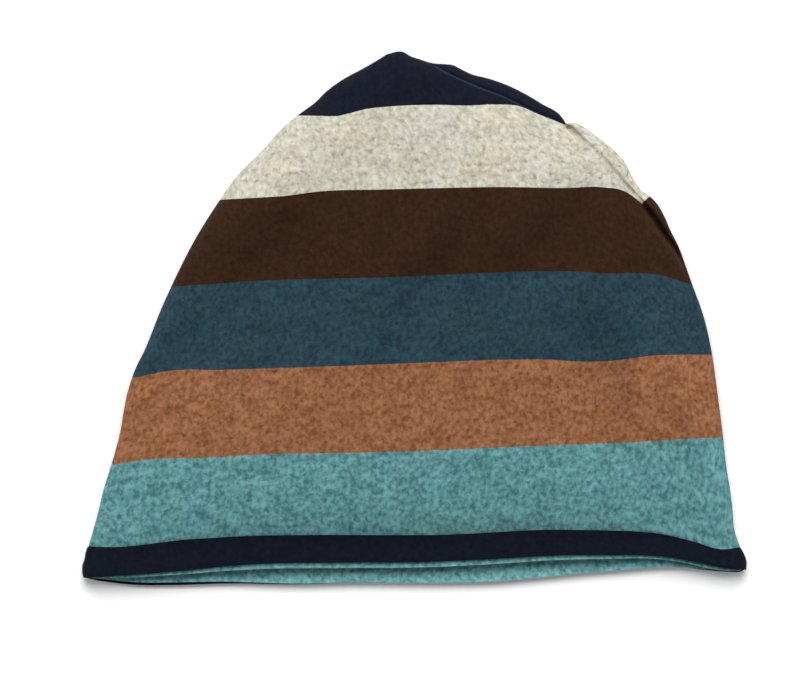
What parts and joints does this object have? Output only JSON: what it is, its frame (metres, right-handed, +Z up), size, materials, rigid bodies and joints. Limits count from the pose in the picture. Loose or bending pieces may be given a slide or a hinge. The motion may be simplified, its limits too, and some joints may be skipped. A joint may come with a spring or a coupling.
{
  "type": "striped double layer jersey chemo beanie",
  "caption": "Soft slouchy beanie of striped jersey with a plain lining and a narrow navy band, lying flat on its back layer.",
  "frame": {"origin": "middle of the bounding box's underside, on the surface that the hat lies on", "axes": "+X to the hat's right as it lies, +Y from the mouth to the crown, +Z up through the front layer"},
  "size_m": [0.28, 0.2243, 0.0261],
  "materials": {
    "front_jersey": "matt",
    "back_jersey": "matt",
    "band_jersey": "matt",
    "lining_front_jersey": "matt",
    "lining_back_jersey": "matt"
  },
  "bodies": {
    "root": {"front_panel": "front_jersey", "back_panel": "back_jersey", "hem_band": "band_jersey", "lining_front": "lining_front_jersey", "lining_back": "lining_back_jersey"}
  },
  "joints": []
}
